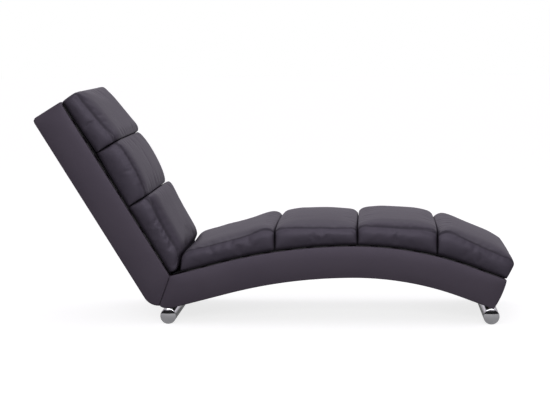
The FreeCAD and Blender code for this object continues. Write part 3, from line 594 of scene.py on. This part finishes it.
felt = finish("black_felt", felt_surface, Specular_IOR_Level=0.1)
felt_half = 0.2510
felt_low = 0.0023
felt_thickness = 0.004
deck_felt = [
    Vector((x, base_height(x, base_depth + felt_low + felt_thickness)))
    for x in (-0.369 + 1.175 * k / 90 for k in range(91))
]
seat_felt = strip("seat_lining_felt", deck_felt[::-1], felt_half, 0, felt, felt_thickness)
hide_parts("seat_felt")
back_felt = strip("back_lining_felt",
                  evenly([back_at(back_length - 0.004, felt_low + felt_thickness),
                          back_at(0.006, felt_low + felt_thickness)], 40),
                  felt_half, 0, felt, felt_thickness)
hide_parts("back_felt")


# Cloth under the base: thin non-woven polypropylene that keeps dust out. It is stretched
# between the two foot tubes and stapled to the lower edges of the side boards.
def dust_cloth_surface(tone):
    place = tone.node("TexCoord", output=3)
    dots = tone.node("TexVoronoi", {"Vector": place, "Scale": 480.0, "Randomness": 0.2})
    fibres = tone.noise(1200, 4)
    return {
        "Base_Color": tone.mix(dots.limits(0.2, 0.4), (0.010, 0.010, 0.011), (0.022, 0.022, 0.023)),
        "Roughness": fibres * 0.2 + 0.7,
        "Normal": tone.relief(dots.limits(0.15, 0.4) + fibres * 0.3, 0.0003),
    }


dust_cloth = finish("dust_cloth", dust_cloth_surface)
cloth_half = 0.2612
cloth = strip("cloth_under_base", run_line, cloth_half, 0.0016, dust_cloth, 0.0007)
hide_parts("dust_cloth")

staple_half = 0.0055
wire_half = 0.0006
staple_y = 0.2535
wire_section = [(-wire_half, -0.0015), (wire_half, -0.0015), (wire_half, 0.0009),
                (-wire_half, 0.0009)]
block_faces = [(0, 1, 2, 3), (7, 6, 5, 4), (0, 4, 5, 1), (1, 5, 6, 2), (2, 6, 7, 3), (3, 7, 4, 0)]
staple_points = []
staple_faces = []
for station in range(2, run_count - 1, 4):
    flat = run_line[station]
    along = (run_line[station + 1] - run_line[station - 1]).normalized()
    down = Vector((along.y, -along.x))
    for y in (-staple_y, staple_y):
        first = len(staple_points)
        for u in (-staple_half, staple_half):
            for v, drop in wire_section:
                spot = flat + along * u + down * drop
                staple_points.append(Vector((spot.x, y + v, spot.y)))
        staple_faces += [tuple(first + corner for corner in face) for face in block_faces]
new_piece("cloth_staples", staple_points, staple_faces, bpy.data.materials["zinc_plate"],
          smooth=False)


# Feet: two chrome-plated steel tubes across the base, each closed by a pressed, slightly
# domed disc at both ends.
def chrome_surface(tone):
    haze = tone.noise(40, 3)
    return {
        "Base_Color": tone.mix(haze, (0.60, 0.61, 0.62), (0.66, 0.665, 0.67)),
        "Roughness": haze * 0.05 + 0.03,
    }


chrome = finish("chrome", chrome_surface, Metallic=1.0)
clothe(chrome, "rear_foot_tube", "front_foot_tube")
tube_radius = 0.0285
disc_rise = 0.0042
disc_rim = 0.0007
disc_flange = 0.003
plug_radius = 0.0256
plug_bore = 0.0236
plug_end = 0.015
disc_back = 0.002
turns = 72
dome_turns = [math.sin(k / 14 * math.pi / 2) for k in range(1, 15)]
disc_profile = [
    (tube_radius * 0.93 * reach, disc_rise - (disc_rise - disc_rim) * reach ** 2)
    for reach in dome_turns
]
disc_profile += [
    (tube_radius * 0.965, 0.0004), (tube_radius * 0.985, 0.0), (tube_radius, -0.0006),
    (tube_radius, -disc_flange), (plug_radius, -disc_flange), (plug_radius, -plug_end),
    (plug_bore, -plug_end), (plug_bore, -disc_back),
]
for name, x, side in (
        ("rear_tube_cap_left", rear_tube_x, 1), ("rear_tube_cap_right", rear_tube_x, -1),
        ("front_tube_cap_left", front_tube_x, 1), ("front_tube_cap_right", front_tube_x, -1)):
    low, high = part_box(name)
    rim = (high[1] if side > 0 else -low[1]) - 0.0026
    points = []
    faces = []
    for radius, height in disc_profile:
        points += [
            (x + radius * math.cos(k * 2 * math.pi / turns), side * (rim + height),
             tube_radius + radius * math.sin(k * 2 * math.pi / turns))
            for k in range(turns)
        ]
    for layer in range(len(disc_profile) - 1):
        for k in range(turns):
            a = layer * turns + k
            b = layer * turns + (k + 1) % turns
            faces.append((a, b, b + turns, a + turns))
    points.append((x, side * (rim + disc_rise), tube_radius))
    points.append((x, side * (rim - disc_back), tube_radius))
    last = (len(disc_profile) - 1) * turns
    for k in range(turns):
        faces.append((k, (k + 1) % turns, len(points) - 2))
        faces.append((last + k, last + (k + 1) % turns, len(points) - 1))
    disc = new_piece(name.replace("cap", "disc"), points, faces, chrome)
    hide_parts(name)


# Cushions: seven blocks of foam in sewn leather, four on the seat and three on the back.
# A face strip runs over the top and both ends, a puffed side panel closes each side, and
# the seam between them lies in a narrow groove, whose shade is painted near-black into the leather.
def cushion_surface(tone):
    place = tone.node("TexCoord", output=3)
    pebbles = tone.node("TexVoronoi", {"Vector": place, "Scale": 620.0}, feature="SMOOTH_F1")
    fine = tone.noise(1500, 2)
    broad = tone.noise(11, 2)
    cloud = tone.noise(5, 3)
    # Painted shade: near the seam grooves the leather colour is mixed towards near-black, following
    # a point attribute set on the mesh.
    seam_shade = tone.node("Attribute", attribute_name="seam_shade", output=2)
    colour = tone.mix(cloud.limits(0.3, 0.7), (0.024, 0.0200, 0.0275), (0.029, 0.0245, 0.0330))
    soft = tone.relief(broad, 0.0015)
    return {
        "Base_Color": tone.mix(seam_shade, colour, (0.006, 0.005, 0.006)),
        "Roughness": cloud * 0.12 + fine * 0.08 + 0.42,
        "Normal": tone.relief(pebbles * 0.7 + fine * 0.3, 0.00014, soft),
    }


cushion_leather = finish("cushion_leather", cushion_surface, Specular_IOR_Level=0.60,
                         Specular_Tint=(0.87, 0.79, 1.0, 1.0))
cushion_half = 0.253
cushion_low = base_depth + 0.0066
under_roll = 0.006
end_push = 0.0012
shoulder = 0.06
curl_width = 0.035
groove_width = 0.0035
groove_depth = 0.0018
end_round = 0.022
cushions = []


def smooth_line(points, steps=8):
    """A smooth curve through all the points."""
    line = []
    padded = [points[0] * 2 - points[1]] + points + [points[-1] * 2 - points[-2]]
    for a, b, c, d in zip(padded, padded[1:], padded[2:], padded[3:]):
        for k in range(steps):
            t = k / steps
            line.append(0.5 * (2 * b + (c - a) * t + (2 * a - 5 * b + 4 * c - d) * t ** 2
                               + (3 * b - a - 3 * c + d) * t ** 3))
    return line + [points[-1]]


def value_at(stations, place):
    """Reads a value between stations, eased from one to the next."""
    if place <= stations[0][0]:
        return stations[0][1]
    for (low, first), (high, second) in zip(stations, stations[1:]):
        if place <= high:
            share = (place - low) / (high - low)
            return first + (second - first) * share * share * (3 - 2 * share)
    return stations[-1][1]


face_count = 40
end_count = 12
across = [0, 0.0012, 0.0035, 0.008, 0.015, 0.024, 0.035, 0.048]
across += [0.048 + (cushion_half - 0.048) * k / 22 for k in range(1, 23)]
places_across = [-cushion_half + step for step in across] + [
    cushion_half - step for step in across[-2::-1]]


def cushion(name, rear, face, front, bottom, hem, outward, crown, puff, tight):
    """Builds one cushion from its near seam: rear end, face and front end, then its crown.
    hem is the lower border of the side panels, which curls up from the bottom. The ends
    are pushed out at mid-width, so that neighbours meet."""
    rear_line = evenly(smooth_line(rear), end_count)
    face_line = evenly(smooth_line(face), face_count)
    front_line = evenly(smooth_line(front), end_count)
    bottom_line = evenly(bottom, face_count)
    hem_line = evenly(hem, face_count)
    section = bottom_line[:-1] + front_line[:-1] + face_line[:-1] + rear_line[:-1]
    side_section = hem_line[:-1] + front_line[:-1] + face_line[:-1] + rear_line[:-1]
    first_face = face_count + end_count
    along = (section[first_face] - section[first_face + face_count]).normalized()
    count = len(section)
    points = []
    wide = len(places_across)

    def rolled(share):
        """How far a side panel has rolled under at that share of its height."""
        low = max(0, 1 - share * end_count / 3.2)
        return under_roll * (1 - math.sqrt(1 - low ** 2))

    for index, (flat, at_side) in enumerate(zip(section, side_section)):
        on_face = (index - first_face) / face_count
        up = rise_here = push_here = 0
        if 0 <= on_face <= 1:
            up = 1
            rise_here = value_at(crown, 1 - on_face)
            push_here = max(0, 1 - on_face * 8) - max(0, 1 - (1 - on_face) * 8)
        elif face_count < index < first_face:
            up = (index - face_count) / end_count
            rise_here = crown[-1][1] * up ** 2
            push_here = math.sin(up * math.pi / 2)
        elif index > first_face + face_count:
            up = 1 - (index - first_face - face_count) / end_count
            rise_here = crown[0][1] * up ** 2
            push_here = -math.sin(up * math.pi / 2)
        before = section[index - 1]
        after = section[(index + 1) % count]
        way = (after - before).normalized()
        normal = Vector((way.y, -way.x))
        for y in places_across:
            edge = cushion_half - abs(y)
            u = min(1, edge / shoulder)
            round_edge = math.sqrt(1 - (1 - u) ** 2)
            swell = tight * round_edge + (1 - tight) * (1 - (y / cushion_half) ** 2)
            spot = flat + outward * rise_here * swell + along * end_push * push_here * swell
            if index <= face_count:
                curl = max(0, 1 - edge / curl_width)
                spot = flat.lerp(at_side, 1 - math.sqrt(1 - curl ** 2))
            else:
                spot = spot - normal * groove_depth * max(0, 1 - edge / groove_width)
            y *= (cushion_half - rolled(up)) / cushion_half
            points.append(Vector((spot.x, y, spot.y)))
    faces = []
    for index in range(count):
        following = (index + 1) % count
        for column in range(wide - 1):
            faces.append((index * wide + column, index * wide + column + 1,
                          following * wide + column + 1, following * wide + column))
    seam_shade_marks = [0.0] * len(points)
    for side in (-1, 1):
        column = 0 if side < 0 else wide - 1
        grid = patch(hem_line, front_line, face_line[::-1], rear_line[::-1], end_count)
        number = {}
        for row in range(end_count + 1):
            for step in range(face_count + 1):
                if row == 0:
                    place = step
                elif row == end_count:
                    place = first_face + (face_count - step)
                elif step == face_count:
                    place = face_count + row
                elif step == 0:
                    place = count - row
                else:
                    flat = grid[row][step]
                    to_end = min((flat - edge_point).length for edge_point in
                                 front_line + rear_line)
                    u = min(1, to_end / end_round)
                    v = row / end_count
                    swell = math.sqrt(1 - (1 - u) ** 2) * min(1, (1 - v) * 3.2) ** 0.6 * (
                        0.45 + 0.55 * math.sin(math.pi * v)) - 0.2
                    y = cushion_half + puff * max(0, swell) - rolled(v)
                    number[row, step] = len(points)
                    points.append(Vector((flat.x, side * y, flat.y)))
                    seam_shade_marks.append(0.0)
                    continue
                number[row, step] = (place % count) * wide + column
        for row in range(end_count):
            for step in range(face_count):
                faces.append((number[row, step], number[row, step + 1],
                              number[row + 1, step + 1], number[row + 1, step]))
    # Painted shade in the seam grooves: the three vertex columns beside each seam get full, strong
    # and weak marks, which darken the leather there to near-black.
    for index in range(face_count, count):
        for column, mark in ((0, 1.0), (1, 0.8), (2, 0.35)):
            seam_shade_marks[index * wide + column] = mark
            seam_shade_marks[index * wide + wide - 1 - column] = mark
    piece = new_piece(name, points, faces, cushion_leather)
    marks = piece.data.attributes.new("seam_shade", "FLOAT", "POINT")
    marks.data.foreach_set("value", seam_shade_marks)
    last_face = first_face + face_count
    held = [
        number for number in range(count * wide)
        if number % wide in (0, wide - 1) or not first_face < number // wide < last_face
    ]
    piece.vertex_groups.new(name="held").add(held, 1.0, "REPLACE")
    cushions.append(piece)
    return piece


hem_rises = [(-0.342, 0.005), (-0.300, 0.005), (-0.100, 0.004), (0.290, 0.0035),
             (0.450, 0.004), (0.560, 0.005), (0.600, 0.006), (0.700, 0.005), (0.800, 0.0035),
             (0.822, 0.0025)]
seat_puff = 0.0075


def seat_cushion(number, rear_x, front_x, face, crown, tight):
    """A seat cushion. Its face runs forward through the given points of the near seam."""
    stations = [rear_x + (front_x - rear_x) * k / 30 for k in range(31)]
    bottom = [Vector((x, base_height(x, cushion_low))) for x in stations]
    hem = [Vector((x, base_height(x, base_depth + value_at(hem_rises, x)))) for x in stations]
    corners = [Vector(point) for point in face]
    rear = [corners[0], hem[0].lerp(corners[0], 0.5) + Vector((-0.0005, 0)), hem[0]]
    front = [hem[-1], hem[-1].lerp(corners[-1], 0.5) + Vector((0.0005, 0)), corners[-1]]
    piece = cushion(f"seat_cushion_{number}", rear, corners[::-1], front, bottom, hem,
                    Vector((0, 1)), crown, seat_puff, tight)
    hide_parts(f"seat_cushion_{number}_cover", f"seat_cushion_{number}_foam")


seat_cushion(1, -0.342, -0.0004, [
    (-0.336, 0.236), (-0.327, 0.253), (-0.302, 0.269), (-0.240, 0.282), (-0.200, 0.293),
    (-0.148, 0.306), (-0.100, 0.320), (-0.060, 0.335), (-0.036, 0.343), (-0.014, 0.342),
    (-0.002, 0.330)],
    [(0, 0.002), (0.08, 0.004), (0.4, 0.012), (0.75, 0.012), (0.93, 0.009), (1, 0.010)], 0.6)
seat_cushion(2, 0.0004, 0.2946, [
    (0.002, 0.330), (0.012, 0.343), (0.030, 0.347), (0.100, 0.348), (0.200, 0.347),
    (0.270, 0.346), (0.284, 0.343), (0.293, 0.332)],
    [(0, 0.014), (0.06, 0.014), (0.3, 0.025), (0.6, 0.028), (0.9, 0.022), (1, 0.024)], 0.35)
seat_cushion(3, 0.2954, 0.5776, [
    (0.297, 0.338), (0.306, 0.350), (0.322, 0.354), (0.357, 0.352), (0.434, 0.347),
    (0.511, 0.342), (0.548, 0.338), (0.566, 0.333), (0.576, 0.321)],
    [(0, 0.019), (0.06, 0.014), (0.35, 0.024), (0.7, 0.025), (0.93, 0.021), (1, 0.024)], 0.7)
seat_cushion(4, 0.5784, 0.8225, [
    (0.580, 0.313), (0.588, 0.326), (0.602, 0.334), (0.617, 0.334), (0.649, 0.320),
    (0.699, 0.296), (0.749, 0.272), (0.799, 0.250), (0.832, 0.235), (0.847, 0.222),
    (0.848, 0.210)],
    [(0, 0.022), (0.06, 0.013), (0.3, 0.018), (0.7, 0.026), (0.9, 0.019), (1, 0.005)], 0.4)


back_hem_rises = [(0, 0.005), (0.108, 0.008), (0.221, 0.014), (0.300, 0.009), (0.444, 0.005),
                  (0.733, 0.005)]
back_puff = 0.0065
back_tight = 0.85


def back_cushion(word, top, end, face, crown, low_end=None):
    """A back cushion, its face running down through the given points of the near seam."""
    stations = [end + (top - end) * k / 20 for k in range(21)]
    bottom = [back_at(down, 0.0066) for down in stations]
    hem = [back_at(down, value_at(back_hem_rises, down)) for down in stations]
    corners = [back_at(down, out) for down, out in face]
    middle = back_at((face[-1][0] + end) / 2, face[-1][1] / 2)
    lower = [corners[-1]] + [back_at(*point) for point in low_end or []] + [hem[0]]
    upper = [hem[-1], back_at((face[0][0] + top) / 2 - 0.0005, face[0][1] / 2), corners[0]]
    if not low_end:
        lower.insert(1, middle)
    # The section runs the same way round as on the seat, with the lower end at the rear.
    piece = cushion(f"back_cushion_{word}", upper[::-1], corners[::-1], lower[::-1], bottom[::-1],
                    hem[::-1], Vector((math.sin(back_lean), math.cos(back_lean))), crown,
                    back_puff, back_tight)
    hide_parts(f"back_cushion_{word}_cover", f"back_cushion_{word}_foam")


back_cushion("upper", 0.001, 0.2206, [
    (-0.002, 0.050), (0.001, 0.061), (0.015, 0.066), (0.068, 0.073), (0.118, 0.080),
    (0.164, 0.087), (0.196, 0.094), (0.210, 0.092), (0.219, 0.082)],
    [(0, 0.013), (0.08, 0.020), (0.35, 0.024), (0.65, 0.023), (0.93, 0.021), (1, 0.026)])
back_cushion("middle", 0.2214, 0.4436, [
    (0.223, 0.082), (0.230, 0.094), (0.245, 0.098), (0.296, 0.101), (0.358, 0.098),
    (0.417, 0.089), (0.434, 0.083), (0.442, 0.071)],
    [(0, 0.022), (0.06, 0.011), (0.4, 0.010), (0.8, 0.010), (0.94, 0.009), (1, 0.018)])
back_cushion("lower", 0.4444, 0.723, [
    (0.446, 0.071), (0.452, 0.080), (0.464, 0.083), (0.516, 0.078), (0.572, 0.074),
    (0.623, 0.072), (0.653, 0.073), (0.676, 0.070), (0.692, 0.060)],
    [(0, 0.032), (0.07, 0.026), (0.35, 0.025), (0.7, 0.026), (0.95, 0.022), (1, 0.010)],
    low_end=[(0.714, 0.045), (0.727, 0.029)])

# The covers are blown up a little from inside, held along their seams, their ends and their
# undersides, and the leather is 1% longer than its seams, which puckers it beside them.
swell_frames = 20
most_swell = 0.009
for piece in cushions:
    air = piece.modifiers.new("air", "CLOTH")
    air.settings.quality = 5
    air.settings.mass = 0.4
    air.settings.tension_stiffness = 12
    air.settings.compression_stiffness = 12
    air.settings.shear_stiffness = 4
    air.settings.bending_stiffness = 0.6
    air.settings.use_pressure = True
    air.settings.uniform_pressure_force = 4
    air.settings.shrink_min = -0.012
    air.settings.vertex_group_mass = "held"
    air.settings.effector_weights.gravity = 0
    air.collision_settings.use_collision = False
    air.point_cache.frame_end = swell_frames
for step in range(1, swell_frames + 1):
    scene.frame_set(step)
state = bpy.context.evaluated_depsgraph_get()
for piece in cushions:
    swollen = piece.evaluated_get(state)
    goals = [vertex.co.copy() for vertex in swollen.to_mesh().vertices]
    swollen.to_mesh_clear()
    piece.modifiers.clear()
    for vertex, goal in zip(piece.data.vertices, goals):
        way = goal - vertex.co
        vertex.co += way / (1 + way.length / most_swell)
scene.frame_set(1)
for piece in cushions:
    smoother = piece.modifiers.new("smooth_surface", "SUBSURF")
    smoother.levels = 1
    smoother.render_levels = 1


# Studio: a white floor, even light from above and behind, a large soft lamp overhead and a
# lower one in front. The front stays dark near the horizon, which draws the band in the chrome.
floor_mesh = bpy.data.meshes.new("studio_floor")
floor_mesh.from_pydata([(-30, -30, 0), (30, -30, 0), (30, 30, 0), (-30, 30, 0)], [], [(0, 1, 2, 3)])
floor = bpy.data.objects.new("studio_floor", floor_mesh)
scene.collection.objects.link(floor)


def floor_surface(tone):
    cloud = tone.noise(0.6, 2)
    rays = tone.node("LightPath").socket.node.outputs
    seen = Finish(tone.tree, rays["Is Camera Ray"]) + (
        Finish(tone.tree, rays["Is Glossy Ray"]) * 0.15)
    return {
        "Base_Color": tone.mix(cloud, (0.32, 0.32, 0.32), (0.34, 0.34, 0.34)),
        "Roughness": cloud * 0.1 + 0.8,
        "Emission_Color": tone.mix(seen, (0, 0, 0), (1, 1, 1)),
    }


floor_mesh.materials.append(finish("studio_floor", floor_surface, Emission_Strength=0.78,
                                   Specular_IOR_Level=0.1))

world = bpy.data.worlds.new("studio")
scene.world = world
world.use_nodes = True
sky = Finish(world.node_tree)
rays = sky.node("LightPath").socket.node.outputs
camera_ray = Finish(sky.tree, rays["Is Camera Ray"])
way = sky.node("TexCoord", output=0)
parts = sky.node("SeparateXYZ", {0: way}).socket.node.outputs
forward = Finish(sky.tree, parts["Y"])
height = Finish(sky.tree, parts["Z"])
ragged = sky.node("TexNoise", {"Vector": way, "Scale": 9.0, "Detail": 2.0}) * 0.12
edge = (height + ragged).limits(0.26, 0.34)
behind = forward.limits(-0.35, 0.25)
behind_or_above = sky.sum("MAXIMUM", edge, behind)
background = world.node_tree.nodes["Background"]
level = behind_or_above * 0.66 + 0.02
strength = sky.sum("MAXIMUM", level, camera_ray)
colour = sky.mix(camera_ray, (0.96, 0.91, 1.0), (1, 1, 1))
world.node_tree.links.new(colour.socket, background.inputs["Color"])
world.node_tree.links.new(strength.socket, background.inputs["Strength"])

for name, place, size, power in (
        ("overhead_softbox", (0.2, 0.9, 3.4), (3.6, 2.6), 31),
        ("front_softbox", (0.2, -4.6, 2.1), (3.4, 1.2), 88)):
    lamp_data = bpy.data.lights.new(name, "AREA")
    lamp_data.shape = "RECTANGLE"
    lamp_data.size, lamp_data.size_y = size
    lamp_data.energy = power
    lamp = bpy.data.objects.new(name, lamp_data)
    lamp.location = place
    aim = Vector((0.05, 0, 0.35)) - Vector(place)
    lamp.rotation_euler = aim.to_track_quat("-Z", "Y").to_euler()
    scene.collection.objects.link(lamp)
